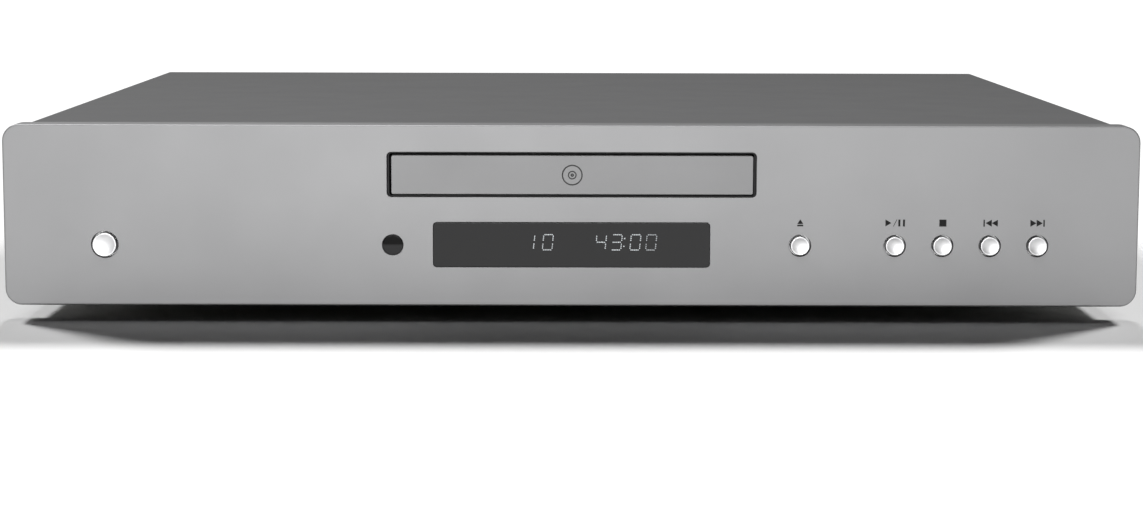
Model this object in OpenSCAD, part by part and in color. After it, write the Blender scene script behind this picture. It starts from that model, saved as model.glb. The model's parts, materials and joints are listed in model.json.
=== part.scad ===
// Full-width disc player: front faces -Y, top faces +Z, origin on the floor under the middle.

/* [Case] */
// Width of the front panel
panel_w = 430; // [420:1:440]
// Height of the front panel
panel_h = 69; // [66:1:72]
// Height of the front panel's lower edge above the floor
panel_z0 = 6; // [5:0.5:7]
// Corner radius of the front panel
panel_corner = 6.3; // [4:0.1:8]
// Depth of the front panel from its face to the back of its rim
panel_depth = 10; // [9.5:0.5:11]
// Thickness of the front panel's face
face_t = 4; // [3.5:0.5:4.5]
// Width of the top cover
cover_w = 417; // [416:1:418]
// Thickness of the folded sheet steel
sheet = 1.2; // [0.8:0.1:1.5]
// Height of the cabinet's underside above the floor
base_z = 9; // [8:0.5:9]

/* [Front controls] */
// Height of the button row above the floor
row_z = 29.3; // [27:0.1:32]
// Radius of the transport buttons
button_r = 3.6; // [3:0.1:3.7]
// Radius of the standby button
standby_r = 4.55; // [4:0.05:4.7]
// Distance from one transport button to the next
button_pitch = 18.03; // [14:0.01:18.1]
// Travel of a pressed button
button_travel = 0.6; // [0.3:0.1:0.6]

/* [Disc mechanism] */
// Distance that the tray runs out
tray_travel = 138; // [130:1:138]
// Tilt of the optical deck when it is lowered
deck_tilt = 3.5; // [3:0.1:3.5]
// Distance that the pickup runs outwards
sled_travel = 35.5; // [30:0.5:35.5]

/* [Hidden] */
$fn = 64;
eps = 0.01;

// Planes of the case
face_y = -151.5;
face_back = face_y + face_t;
rim_y = face_y + panel_depth;
panel_zc = panel_z0 + panel_h / 2;
panel_top = panel_z0 + panel_h;
cover_top = panel_top - 0.1;
cover_bend = 3;
cover_y1 = 143.4;
rear_y = 142;
inner_x = cover_w / 2 - 3;
floor_top = base_z + sheet;
base_y0 = rim_y + 0.6;
base_y1 = rear_y - 1.4;
vent_w = 3;

// Screws: cover sides, cover lip, rear panel, and the holes that pass or hold them
side_screw_y = [-95, 95];
side_screw_z = 16;
lip_screw_x = [-150, 0, 150];
lip_screw_z = 69.5;
rear_screw_x = 190;
rear_screw_z = 15;
clear_r = 1.6;
thread_r = 1.5;

// Openings of the front panel
slot_w = 139.8;
slot_h = 17.15;
slot_z = 56.18;
slot_r = 1.7;
window_w = 105;
window_h = 17.3;
window_z = 29.42;
window_r = 1.5;
ir_x = -67.8;
ir_r = 3.9;
standby_x = -176.9;
eject_x = 86.65;
play_x = 122.65;
button_gap = 0.55;
transport_x = [eject_x, for (i = [0:3]) play_x + i * button_pitch];
all_button_x = concat([standby_x], transport_x);

// Planes of a button: front, rear face of its collar, end of its stem
cap_y = face_y - 1;
collar_y = face_back + 0.1;
collar_t = 1;
stem_r = 1.5;
stem_end = -143.2;

// Subframe and control board behind the panel
subframe_y0 = -145.2;
subframe_y1 = -143.2;
board_y = -138;
board_t = 1.6;
board_post_x = [-184, -80, 80, 184];
board_post_z = 41;
switch_half = 3.1;
solder_gap = 0.05;
panel_screw_x = [-196, 196];
panel_screw_z = [18, 63];

// Feet
foot_x = 165;
foot_y = [-88, 100];
foot_r = 22;

// Disc mechanism: heights and centres
disc_y = -77;
bridge_screw_x = [-66.6, 66.6];
bridge_screw_y = [disc_y - 15, disc_y + 15];
bridge_half = 20;
tray_w = 129;
tray_y0 = -143.5;
tray_y1 = -8;
rail_y1 = 30;
tray_low = 54.5;
tray_top = 60.5;
rail_z = 50;
recess_z = 56.3;
small_recess_z = 55.2;
loader_y0 = -133;
loader_y1 = 35;
loader_x = 68;
loader_wall = 2.8;
loader_z = 24;
loader_floor = 26;
loader_top = 64.3;
tray_pinion_teeth = 16;
tray_module = 1;
train_module = 0.8;
wheel_teeth = 28;
pulley_pinion_teeth = 14;
rack_x = -56.5;
drive_x = rack_x + tray_module * tray_pinion_teeth / 2;
drive_y = -112;
pulley_y = drive_y + train_module * (wheel_teeth + pulley_pinion_teeth) / 2;
belt_span = 36;
motor_y = pulley_y + belt_span;
pulley_r = 11;
motor_pulley_r = 4;
belt_t = 1;
axle_r = 1.5;
pin_r = 1;
thin_shaft_r = 0.8;
running = 0.06;
pressure = 20;
addendum = 0.8;
dedendum = 1.15;
backlash = 0.3;
drive_wheel_phase = 0;
sled_wheel_phase = 0;
tray_rack_teeth = ceil(tray_travel / (PI * tray_module));

// Traverse, deck and sled
pivot_y = 27;
pivot_z = 38.75;
pivot_r = 2.5;
pivot_blocks = [-39.6, 59];
cam_pin_x = 12;
cam_pin_r = 1.5;
cam_y0 = -117.5;
cam_y1 = -114.5;
cam_travel = 24;
cam_drop = (pivot_y - (cam_y0 + cam_y1) / 2) * tan(deck_tilt);
base_x0 = -34.5;
base_x1 = 58;
deck_x0 = -33;
deck_x1 = 57;
deck_y0 = -108;
deck_y1 = 22;
deck_z0 = 42.5;
deck_z1 = 45;
rod_x = 22;
rod_z = 49;
rod_r = 1.5;
lens_y = -54;
sled_rack_x = 36;
sled_pinion_teeth = 14;
sled_wheel_teeth = 30;
sled_motor_teeth = 12;
sled_gear_x = sled_rack_x + train_module * sled_pinion_teeth / 2;
sled_gear_y = -33;
sled_rack_teeth = ceil(sled_travel / (PI * train_module)) + 1;
sled_motor_y = sled_gear_y + train_module * (sled_wheel_teeth + sled_motor_teeth) / 2;
damper_spots = [[-28, -103], [51, -103], [-28, 16], [51, 16]];

// Electronics
post_h = 8;
pcb_z = floor_top + post_h;
pcb_top = pcb_z + board_t;
main_posts = [[84, 18], [190, 18], [84, 130], [190, 130]];
power_posts = [[-190, 46], [-98, 46], [-190, 106], [-98, 106]];
bracket_spots = [-115, -40, 22];
bracket_screw_x = [-68.5, 68.5];
bracket_x = 61.5;
bracket_y0 = -125;
bracket_y1 = 30;
transformer_x = -145;
transformer_y = -15;
inlet_x = -165;
inlet_z = 36;
inlet_w = 27;
inlet_h = 20;
inlet_ears = [inlet_x - 20, inlet_x + 20];
switch_x = -128;
switch_z = 36;
switch_y = 138.5;
switch_swing = 9;
rocker_pin_r = 1.2;
socket_spots = [[125, 27], [125, 45], [160, 27]];
socket_r = 4.15;

// ---- Helpers ----

// Points of an arc
function arc(c, r, a0, a1, n = 8) =
    [for (i = [0:n]) c + r * [cos(a0 + (a1 - a0) * i / n), sin(a0 + (a1 - a0) * i / n)]];

// Outline of a rectangle with round corners, centred on zero
function round_rect(w, h, r) = concat(
    arc([w / 2 - r, h / 2 - r], r, 0, 90),
    arc([r - w / 2, h / 2 - r], r, 90, 180),
    arc([r - w / 2, r - h / 2], r, 180, 270),
    arc([w / 2 - r, r - h / 2], r, 270, 360));

// Box between two opposite corners
module block(low, high) {
    translate(low) cube(high - low);
}

// Outline drawn in X and Z, as thick as y0 to y1
module slab_y(y0, y1) {
    translate([0, y1, 0]) rotate([90, 0, 0]) linear_extrude(y1 - y0) children();
}

// Plate with round corners that faces the front
module plate_y(x, z, w, h, r, y0, y1) {
    slab_y(y0, y1) translate([x, z]) polygon(round_rect(w, h, r));
}

// Cylinders along Z, Y and X
module rod_z(x, y, r, z0, z1) {
    translate([x, y, z0]) cylinder(r = r, h = z1 - z0);
}
module rod_y(x, z, r, y0, y1) {
    translate([x, y1, z]) rotate([90, 0, 0]) cylinder(r = r, h = y1 - y0);
}
module rod_x(y, z, r, x0, x1) {
    translate([x0, y, z]) rotate([0, 90, 0]) cylinder(r = r, h = x1 - x0);
}

// Turned shape on a vertical axis: points are [radius, height]
module turned(x, y, points) {
    translate([x, y, 0]) rotate_extrude() polygon(points);
}

// Pan-head screw whose head stands on the plane z = 0 and whose shank points down
module screw(length, head_r = 2.8, shank_r = 1.4) {
    cylinder(r = head_r, h = 1.8);
    translate([0, 0, -length]) cylinder(r = shank_r, h = length + eps);
}

// Gear teeth: shortened involute teeth with backlash
function involute(a) = tan(a) - a * PI / 180;
function half_tooth(teeth, m, r) =
    let (base = m * teeth / 2 * cos(pressure))
    90 / teeth - backlash * m / 4 / (m * teeth / 2) * 180 / PI
    + (involute(pressure) - involute(r > base ? acos(base / r) : 0)) * 180 / PI;
function gear_outline(teeth, m) =
    let (pitch_r = m * teeth / 2, root = pitch_r - dedendum * m, tip = pitch_r + addendum * m,
         base = max(pitch_r * cos(pressure), root + eps),
         radii = [root, base, pitch_r, tip])
    [for (i = [0:teeth - 1], side = [-1, 1], k = [0:3])
        let (r = radii[side < 0 ? k : 3 - k], a = i * 360 / teeth + side * half_tooth(teeth, m, r))
        r * [cos(a), sin(a)]];
module gear(teeth, m, phase, z0, z1) {
    translate([0, 0, z0]) rotate([0, 0, phase]) linear_extrude(z1 - z0)
        polygon(gear_outline(teeth, m));
}
// Phase of a gear that meshes with gear A, which lies in direction theta + 180 from it
function mesh_phase(theta, phase_a, teeth_a, teeth_b) =
    theta + 180 + 180 / teeth_b - (phase_a - theta) * teeth_a / teeth_b;
// Toothed rack along Y with its teeth pointing +X; one tooth is centred on y_tooth
module rack(x_pitch, m, y_tooth, before, after, back, z0, z1) {
    pitch = PI * m;
    half = pitch / 4 - backlash * m / 4;
    translate([0, 0, z0]) linear_extrude(z1 - z0) {
        for (i = [-before:after]) {
            translate([x_pitch, y_tooth + i * pitch]) polygon([
                [-dedendum * m - 0.3, half + dedendum * m * tan(pressure)],
                [-dedendum * m, half + dedendum * m * tan(pressure)],
                [addendum * m, half - addendum * m * tan(pressure)],
                [addendum * m, -half + addendum * m * tan(pressure)],
                [-dedendum * m, -half - dedendum * m * tan(pressure)],
                [-dedendum * m - 0.3, -half - dedendum * m * tan(pressure)]]);
        }
        translate([back, y_tooth - (before + 0.5) * pitch])
            square([x_pitch - dedendum * m - back, (before + after + 1) * pitch]);
    }
}

// ---- Case ----

module front_panel() color("silver") difference() {
    plate_y(0, panel_zc, panel_w, panel_h, panel_corner, face_y, rim_y);
    difference() {
        plate_y(0, panel_zc, panel_w - 24, panel_h - 8, 2, face_back, rim_y + 1);
        for (x = panel_screw_x, z = panel_screw_z) {
            rod_y(x, z, 3.5, face_back - 1, subframe_y0 - 0.1);
        }
    }
    plate_y(0, slot_z, slot_w, slot_h, slot_r, face_y - 1, face_back + 1);
    plate_y(0, window_z, window_w, window_h, window_r, face_y - 1, face_back + 1);
    rod_y(ir_x, row_z, ir_r + 0.1, face_y - 1, face_back + 1);
    rod_y(standby_x, row_z, standby_r + button_gap, face_y - 1, face_back + 1);
    for (x = transport_x) {
        rod_y(x, row_z, button_r + button_gap, face_y - 1, face_back + 1);
    }
    for (x = panel_screw_x, z = panel_screw_z) {
        rod_y(x, z, 1.3, face_back - 1.5, subframe_y0 + 1);
    }
}

module tray_surround() color("black") difference() {
    union() {
        plate_y(0, slot_z, slot_w - 0.2, slot_h - 0.2, slot_r - 0.1, face_y + 1.5, rim_y);
        plate_y(0, slot_z, slot_w + 6, slot_h + 5, 2, face_back + 0.1, face_back + 1.3);
    }
    plate_y(0, slot_z, slot_w - 1.7, slot_h - 1.2, slot_r - 0.8, face_y + 1, rim_y + 1);
}

module display_window() color("dimgray") {
    plate_y(0, window_z, window_w - 0.2, window_h - 0.2, window_r - 0.1, face_y + 0.2, face_back + 0.2);
    plate_y(0, window_z, window_w + 4, window_h + 4, 1.5, face_back + 0.1, face_back + 1.1);
}

module ir_window() color("black") {
    rod_y(ir_x, row_z, ir_r, face_y + 0.2, face_back + 0.2);
    rod_y(ir_x, row_z, ir_r + 1.2, face_back + 0.1, face_back + 1.1);
}

module front_subframe() color("dimgray") difference() {
    union() {
        plate_y(0, panel_zc, panel_w - 26, panel_h - 10, 1.5, subframe_y0, subframe_y1);
        difference() {
            plate_y(0, panel_zc, panel_w - 26, panel_h - 10, 1.5, subframe_y0, rim_y - 0.1);
            plate_y(0, panel_zc, panel_w - 31, panel_h - 15, 1, subframe_y0 - 1, rim_y + 1);
        }
        for (x = board_post_x) rod_y(x, board_post_z, 3, subframe_y1 - 1, board_y);
    }
    plate_y(0, slot_z, slot_w + 1, slot_h + 1, 2, subframe_y0 - 1, subframe_y1 + 1);
    plate_y(0, window_z, 98, 18.4, 1, subframe_y0 - 1, subframe_y1 + 1);
    rod_y(ir_x, row_z, ir_r, subframe_y0 - 1, subframe_y1 + 1);
    for (x = all_button_x) rod_y(x, row_z, stem_r + running, subframe_y0 - 1, subframe_y1 + 1);
    for (x = panel_screw_x, z = panel_screw_z) rod_y(x, z, clear_r, subframe_y0 - 1, subframe_y1 + 1);
}

module base_chassis() color("gray") difference() {
    union() {
        block([-inner_x, base_y0, base_z], [inner_x, base_y1, floor_top]);
        block([-inner_x, base_y0, base_z], [inner_x, base_y0 + sheet, 18]);
        block([-inner_x, base_y1 - sheet, base_z], [inner_x, base_y1, 19]);
        for (side = [0, 1]) mirror([side, 0, 0])
            block([inner_x - sheet, base_y0, base_z], [inner_x, base_y1, 22]);
        for (p = concat(main_posts, power_posts)) rod_z(p[0], p[1], 3.2, floor_top - eps, pcb_z);
    }
    for (p = concat(main_posts, power_posts)) rod_z(p[0], p[1], thread_r, base_z - 1, pcb_z + 1);
    for (x = [-foot_x, foot_x], y = foot_y) rod_z(x, y, thread_r, base_z - 1, floor_top + 1);
    for (x = bracket_screw_x, y = bracket_spots) rod_z(x, y, thread_r, base_z - 1, floor_top + 1);
    rod_z(transformer_x, transformer_y, 3.1, base_z - 1, floor_top + 1);
    for (side = [-1, 1], y = side_screw_y) {
        rod_x(y, side_screw_z, thread_r, side * inner_x - 3, side * inner_x + 3);
    }
    for (i = [0:9]) {
        block([-110 + i * 6, -60, base_z - 1], [-110 + i * 6 + vent_w, -20, floor_top + 1]);
        block([100 + i * 8, -60, base_z - 1], [100 + i * 8 + vent_w, -10, floor_top + 1]);
    }
    for (x = [-rear_screw_x, rear_screw_x]) rod_y(x, rear_screw_z, thread_r, rear_y - 4, rear_y);
}

module rear_panel() color("dimgray") difference() {
    block([-inner_x, rear_y - sheet, base_z], [inner_x, rear_y, cover_top - sheet - 0.3]);
    plate_y(inlet_x, inlet_z, inlet_w + 0.5, inlet_h + 0.5, 2, rear_y - 2, rear_y + 1);
    plate_y(switch_x, switch_z, 13.3, 19.5, 0.5, rear_y - 2, rear_y + 1);
    for (s = socket_spots) rod_y(s[0], s[1], socket_r + 0.3, rear_y - 2, rear_y + 1);
    for (x = [-rear_screw_x, rear_screw_x]) rod_y(x, rear_screw_z, clear_r, rear_y - 2, rear_y + 1);
    for (x = lip_screw_x) rod_y(x, lip_screw_z, thread_r, rear_y - 2, rear_y + 1);
    for (x = inlet_ears) rod_y(x, inlet_z, clear_r, rear_y - 2, rear_y + 1);
    for (i = [0:11]) {
        block([-66 + i * 12, rear_y - 2, 28], [-66 + i * 12 + vent_w, rear_y + 1, 56]);
    }
}

// Outline of the folded cover, set in by a distance from its outer face
function cover_outline(inset) =
    let (half = cover_w / 2 - inset, top = cover_top - inset, r = cover_bend - inset)
    concat(arc([half - r, top - r], r, 0, 90), arc([r - half, top - r], r, 90, 180));

module top_cover() color([0.42, 0.42, 0.43]) difference() {
    union() {
        slab_y(rim_y + 0.1, cover_y1) polygon(concat(
            [[cover_w / 2, base_z]], cover_outline(0), [[-cover_w / 2, base_z]],
            [[sheet - cover_w / 2, base_z]],
            [for (i = [17:-1:0]) cover_outline(sheet)[i]],
            [[cover_w / 2 - sheet, base_z]]));
        block([-200, cover_y1 - sheet, 66], [200, cover_y1, cover_top - sheet + 0.1]);
    }
    for (side = [-1, 1], y = side_screw_y) {
        rod_x(y, side_screw_z, 1.7, side * cover_w / 2 - 3, side * cover_w / 2 + 3);
    }
    for (x = lip_screw_x) rod_y(x, lip_screw_z, 1.7, cover_y1 - 3, cover_y1 + 1);
}

module foot(x, y) color([0.12, 0.12, 0.12]) turned(x, y, [
    [1.7, 5], [1.7, base_z], [foot_r - 1, base_z], [foot_r, base_z - 1], [foot_r - 1.6, 2.2],
    [foot_r - 2.3, 1.6], [18.2, 1.6], [18.2, 3.4], [6, 3.4], [6, 5]]);
module foot_front_left() foot(-foot_x, foot_y[0]);
module foot_front_right() foot(foot_x, foot_y[0]);
module foot_rear_left() foot(-foot_x, foot_y[1]);
module foot_rear_right() foot(foot_x, foot_y[1]);

module foot_pads() color([0.05, 0.05, 0.05]) {
    for (x = [-foot_x, foot_x], y = foot_y) {
        turned(x, y, [[7, 0.3], [7, 3.3], [18, 3.3], [18, 0.6], [17.4, 0], [7.5, 0]]);
    }
}

// Black self-tapping screws that hold the cover, the rear panel and the feet
module case_screws() color([0.1, 0.1, 0.1]) {
    for (side = [-1, 1], y = side_screw_y) {
        translate([side * cover_w / 2, y, side_screw_z]) rotate([0, side * 90, 0]) screw(8);
    }
    for (x = lip_screw_x) translate([x, cover_y1, lip_screw_z]) rotate([-90, 0, 0]) screw(7);
    for (x = [-rear_screw_x, rear_screw_x]) {
        translate([x, rear_y, rear_screw_z]) rotate([-90, 0, 0]) screw(7);
    }
    for (x = [-foot_x, foot_x], y = foot_y) translate([x, y, 5]) rotate([180, 0, 0]) screw(8);
}

// Zinc-plated screws inside the case
module chassis_screws() color("gainsboro") {
    for (p = concat(main_posts, power_posts)) translate([p[0], p[1], pcb_top]) screw(7);
    for (x = bracket_screw_x, y = bracket_spots) translate([x, y, floor_top + sheet]) screw(4);
    for (x = panel_screw_x, z = panel_screw_z) {
        translate([x, subframe_y1, z]) rotate([-90, 0, 0]) screw(5, 2.8, 1.2);
    }
    for (x = bridge_screw_x, y = bridge_screw_y) {
        translate([x, y, loader_top + 1.5]) screw(5, 1.9, 0.9);
    }
}

// ---- Front controls ----

module control_board() color("darkgreen") difference() {
    block([-190, board_y, 20], [190, board_y + board_t, 45]);
    for (x = board_post_x) rod_y(x, board_post_z, 1.2, board_y - 1, board_y + 3);
}

module tact_switches() color([0.15, 0.15, 0.15]) {
    for (x = all_button_x) {
        block([x - switch_half, board_y - 3.5, row_z - switch_half],
              [x + switch_half, board_y - solder_gap, row_z + switch_half]);
        rod_y(x, row_z, 1.7, stem_end + button_travel + 0.1, board_y - 3.4);
    }
}

module ir_receiver() color([0.1, 0.08, 0.1]) {
    block([ir_x - 2.9, board_y - 4, row_z - 3.5], [ir_x + 2.9, board_y - solder_gap, row_z + 3.5]);
    rod_y(ir_x, row_z, 2.2, board_y - 5, board_y - 3.9);
}

module display_module() color([0.2, 0.22, 0.24]) {
    block([-47, board_y - 7, window_z - 8], [47, board_y - solder_gap, window_z + 8]);
    block([-45, face_back + 1.3, window_z - 6.5], [45, board_y - 6.9, window_z + 6.5]);
}

// Round button with a dished, chamfered cap, a collar that stops it behind the panel, and a stem
module round_button(x, cap_r) {
    dish = 0.4;
    rim = 0.55;
    land = cap_r - rim;
    sphere_r = (land * land + dish * dish) / (2 * dish);
    dish_points = [for (i = [0:6]) let (r = land * i / 6)
        [r, dish - sphere_r + sqrt(sphere_r * sphere_r - r * r)]];
    translate([x, cap_y, row_z]) rotate([-90, 0, 0]) rotate_extrude() polygon(concat(
        dish_points,
        [[cap_r, 0.45], [cap_r, collar_y - cap_y], [cap_r + 1.3, collar_y - cap_y],
         [cap_r + 1.3, collar_y - cap_y + collar_t], [stem_r, collar_y - cap_y + collar_t],
         [stem_r, stem_end - cap_y], [0, stem_end - cap_y]]));
}
module standby_button() color("whitesmoke") difference() {
    round_button(standby_x, standby_r);
    block([standby_x - 0.35, cap_y - 1, row_z - 0.85], [standby_x + 0.35, cap_y + 1.5, row_z + 0.85]);
}
module standby_light() color("white")
    block([standby_x - 0.3, cap_y + 0.35, row_z - 0.8], [standby_x + 0.3, cap_y + 1.45, row_z + 0.8]);
module eject_button() color("whitesmoke") round_button(transport_x[0], button_r);
module play_button() color("whitesmoke") round_button(transport_x[1], button_r);
module stop_button() color("whitesmoke") round_button(transport_x[2], button_r);
module previous_button() color("whitesmoke") round_button(transport_x[3], button_r);
module next_button() color("whitesmoke") round_button(transport_x[4], button_r);

// ---- Disc mechanism ----

module mechanism_brackets() color("silver") difference() {
    for (side = [0, 1]) mirror([side, 0, 0]) {
        block([bracket_x, bracket_y0, floor_top], [bracket_x + 12, bracket_y1, floor_top + sheet]);
        block([bracket_x, bracket_y0, floor_top], [bracket_x + sheet, bracket_y1, loader_z]);
        block([bracket_x, bracket_y0, loader_z - sheet], [bracket_x + 6.5, bracket_y1, loader_z]);
    }
    for (x = bracket_screw_x, y = bracket_spots) {
        rod_z(x, y, clear_r, floor_top - 1, floor_top + sheet + 1);
        rod_z(x, y, 3.2, floor_top + sheet + 2, loader_z + 1);
    }
}

module loader_frame() color([0.18, 0.18, 0.18]) difference() {
    union() {
        block([-loader_x, loader_y0, loader_z], [loader_x, loader_y1, loader_floor]);
        for (side = [0, 1]) mirror([side, 0, 0]) {
            block([loader_x - loader_wall, loader_y0, loader_z], [loader_x, loader_y1, loader_top]);
            block([60.5, loader_y0, 47.7], [loader_x - 1, loader_y1, rail_z - 0.3]);
            block([61.5, loader_y0, tray_top + 0.5], [loader_x - 1, loader_y1, tray_top + 2.5]);
        }
        block([-loader_x, loader_y0, loader_z], [loader_x, loader_y0 + 2, 46]);
        block([-loader_x, loader_y1 - 2, loader_z], [loader_x, loader_y1, loader_top]);
        for (x = pivot_blocks) block([x, pivot_y - 5, loader_z], [x + 4, pivot_y + 5, pivot_z + 5]);
        for (y = [cam_y0 - 1.9, cam_y1 + 0.3], x = [[-24, 2], [22, 50]]) {
            block([x[0], y, loader_z], [x[1], y + 1.6, 31]);
        }
        rod_z(drive_x, drive_y, 3, loader_z, 33.8);
        rod_z(drive_x, drive_y, axle_r, loader_z, 53.5);
        rod_z(drive_x, pulley_y, 3, loader_z, 27.8);
        rod_z(drive_x, pulley_y, axle_r, loader_z, 37.5);
    }
    rod_z(drive_x, motor_y, 2.2, loader_z - 1, loader_floor + 1);
    for (x = pivot_blocks) rod_x(pivot_y, pivot_z, pivot_r + running, x - 1, x + 5);
    for (x = bridge_screw_x, y = bridge_screw_y) rod_z(x, y, 1, 58, loader_top + 1);
}

module clamp_bridge() color("silver") difference() {
    union() {
        block([-loader_x, disc_y - bridge_half, loader_top + 0.05],
              [loader_x, disc_y + bridge_half, loader_top + 1.5]);
        for (y = [disc_y - bridge_half, disc_y + bridge_half - sheet]) {
            block([-60, y, loader_top + 0.05], [60, y + sheet, loader_top + 4]);
        }
    }
    rod_z(0, disc_y, 12.4, loader_top - 1, loader_top + 5);
    for (x = bridge_screw_x, y = bridge_screw_y) rod_z(x, y, 1.1, loader_top - 1, loader_top + 2);
}

module clamper() color("darkgray") turned(0, disc_y, [
    [0, 61.4], [8.4, 61.4], [8.4, 60.7], [15.5, 60.7], [15.5, 62.6], [11.7, 62.6],
    [11.7, 66.3], [14.2, 66.3], [14.2, 67.4], [13.8, 67.8], [0, 67.8]]);

module disc_tray() color([0.08, 0.08, 0.08]) {
    difference() {
        union() {
            block([-tray_w / 2, tray_y0, tray_low], [tray_w / 2, tray_y1, tray_top]);
            block([-66, -146.1, rail_z + 0.5], [66, tray_y0 + eps, tray_top + 1]);
            for (side = [0, 1]) mirror([side, 0, 0]) {
                block([tray_w / 2 - 3, tray_y0, rail_z], [tray_w / 2, rail_y1, tray_low + 3.5]);
            }
        }
        rod_z(0, disc_y, 60.6, recess_z, tray_top + 5);
        rod_z(0, disc_y, 40.5, small_recess_z, tray_top + 5);
        rod_z(0, disc_y, 21, tray_low - 1, tray_top + 5);
        block([-21, disc_y, tray_low - 1], [21, tray_y1 + 1, tray_top + 5]);
    }
    rack(rack_x, tray_module, drive_y, 1, tray_rack_teeth, 0.5 - tray_w / 2, rail_z, tray_low + 0.5);
}

module tray_door() color("silver") difference() {
    plate_y(0.2, 56.08, 137, 14.85, 0.8, face_y + 0.3, -146.2);
    plate_y(0.2, 56.08, 125, 9, 0.8, face_y + 3.3, -145);
}

module load_motor() color("silver") difference() {
    union() {
        rod_z(drive_x, motor_y, 12, 11.6, loader_z - 0.1);
        rod_z(drive_x, motor_y, 3, 10.6, 12);
    }
    rod_z(drive_x, motor_y, pin_r + running, 14, loader_z + 1);
}

module motor_pulley() color("ivory") turned(drive_x, motor_y, [
    [0, 16], [pin_r, 16], [pin_r, 28], [motor_pulley_r + 1.2, 28], [motor_pulley_r + 1.2, 28.7],
    [motor_pulley_r, 29], [motor_pulley_r, 30.6], [motor_pulley_r + 1.2, 30.9],
    [motor_pulley_r + 1.2, 31.5], [0, 31.5]]);

// Outline of a belt round two wheels on the Y axis
function belt_outline(grow) =
    let (tilt = asin((pulley_r - motor_pulley_r) / belt_span))
    concat(arc([0, 0], pulley_r + grow, 180 - tilt, 360 + tilt, 24),
           arc([0, belt_span], motor_pulley_r + grow, tilt, 180 - tilt, 16));

module load_belt() color([0.06, 0.06, 0.06])
    translate([drive_x, pulley_y, 29.2]) linear_extrude(1.2) difference() {
        polygon(belt_outline(0.1 + belt_t));
        polygon(belt_outline(0.1));
    }

module drive_gear() color("ivory") translate([drive_x, drive_y, 0]) difference() {
    union() {
        gear(wheel_teeth, train_module, drive_wheel_phase, 34, 38);
        translate([0, 0, 37.5]) cylinder(r = 5, h = 13);
        gear(tray_pinion_teeth, tray_module, 180 + 180 / tray_pinion_teeth, 50.2, 54.2);
    }
    translate([0, 0, 30]) cylinder(r = axle_r + running, h = 30);
}

module pulley_gear() color("ivory") translate([drive_x, pulley_y, 0]) difference() {
    union() {
        gear(pulley_pinion_teeth, train_module,
             mesh_phase(90, drive_wheel_phase, wheel_teeth, pulley_pinion_teeth), 34, 38);
        rotate_extrude() polygon([
            [0, 28], [pulley_r + 1, 28], [pulley_r + 1, 28.7], [pulley_r, 29], [pulley_r, 30.6],
            [pulley_r + 1, 30.9], [pulley_r + 1, 31.5], [4, 31.5], [4, 34.5], [0, 34.5]]);
    }
    translate([0, 0, 27]) cylinder(r = axle_r + running, h = 12);
}

module cam_slider() color("ivory") difference() {
    block([-28, cam_y0, loader_floor + 0.3], [39, cam_y1, 43]);
    slab_y(cam_y0 - 1, cam_y1 + 1) polygon([
        for (side = [-1, 1], x = [cam_pin_x - cam_travel - 2.4, cam_pin_x + 2.4])
            let (end = side < 0 ? x : 2 * cam_pin_x - cam_travel - x)
            [end, pivot_z + (end - cam_pin_x) * cam_drop / cam_travel + side * 2.05]]);
}

module traverse_base() color("dimgray") {
    difference() {
        block([base_x0, -112, 37.5], [base_x1, 30, 40]);
        block([-28, -58, 37], [53, 10, 41]);
        rod_z(0, disc_y, 11, 37, 41);
    }
    rod_x(pivot_y, pivot_z, pivot_r, -40.4, base_x0 + 1);
    rod_x(pivot_y, pivot_z, pivot_r, base_x1 - 1, 63.6);
    rod_y(cam_pin_x, pivot_z, cam_pin_r, cam_y0 - 0.7, -111);
}

module damper_rubbers() color([0.1, 0.1, 0.12]) {
    for (p = damper_spots) turned(p[0], p[1], [
        [0, 40], [4.5, 40], [4.5, deck_z0], [3, deck_z0], [3, deck_z1], [4.5, deck_z1],
        [4.5, deck_z1 + 1.5], [0, deck_z1 + 1.5]]);
}

module optical_deck() color("darkgray") difference() {
    union() {
        block([deck_x0, deck_y0, deck_z0], [deck_x1, deck_y1, deck_z1]);
        for (x = [-rod_x, rod_x], y = [-66, 7]) {
            block([x - 3, y, deck_z0], [x + 3, y + 3.5, rod_z + 2.5]);
        }
        rod_z(sled_gear_x, sled_gear_y, axle_r, deck_z0, 52.5);
    }
    block([-27.5, -62.4, deck_z0 - 1], [27.5, 6.9, deck_z1 + 1]);
    for (p = damper_spots) rod_z(p[0], p[1], 3.1, deck_z0 - 1, deck_z1 + 1);
    for (x = [-rod_x, rod_x]) rod_y(x, rod_z, rod_r, -67, 12);
    rod_z(sled_gear_x, sled_motor_y, 2, deck_z0 - 1, deck_z1 + 1);
}

module spindle_motor() color("silver") difference() {
    union() {
        rod_z(0, disc_y, 13, deck_z1, 50.8);
        rod_z(0, disc_y, 4, deck_z1, 51.5);
    }
    rod_z(0, disc_y, thin_shaft_r + running, 46, 52);
}

module turntable() color([0.15, 0.15, 0.15]) turned(0, disc_y, [
    [0, 46.5], [thin_shaft_r, 46.5], [thin_shaft_r, 52], [6, 52], [6, 55.8], [14.5, 55.8], [14.5, 57.8],
    [7.4, 57.8], [7.4, 59.2], [5.8, 60.2], [0, 60.2]]);

module pickup() color("dimgray") {
    difference() {
        union() {
            block([-26, -62, 46.2], [26, -32, 53.6]);
            block([-9, -60, 53], [9, -46, 55]);
            block([20, -60, 51], [sled_rack_x - 4, -34, 53.2]);
        }
        rod_y(-rod_x, rod_z, rod_r + running, -63, -31);
        block([rod_x - 4, -63, rod_z - 1.6], [27, -31, rod_z + 1.6]);
        rod_z(0, lens_y, 3.4, 52, 56);
    }
    rack(sled_rack_x, train_module, sled_gear_y, sled_rack_teeth, 0, sled_rack_x - 5, 49.8, 53.2);
}

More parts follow.
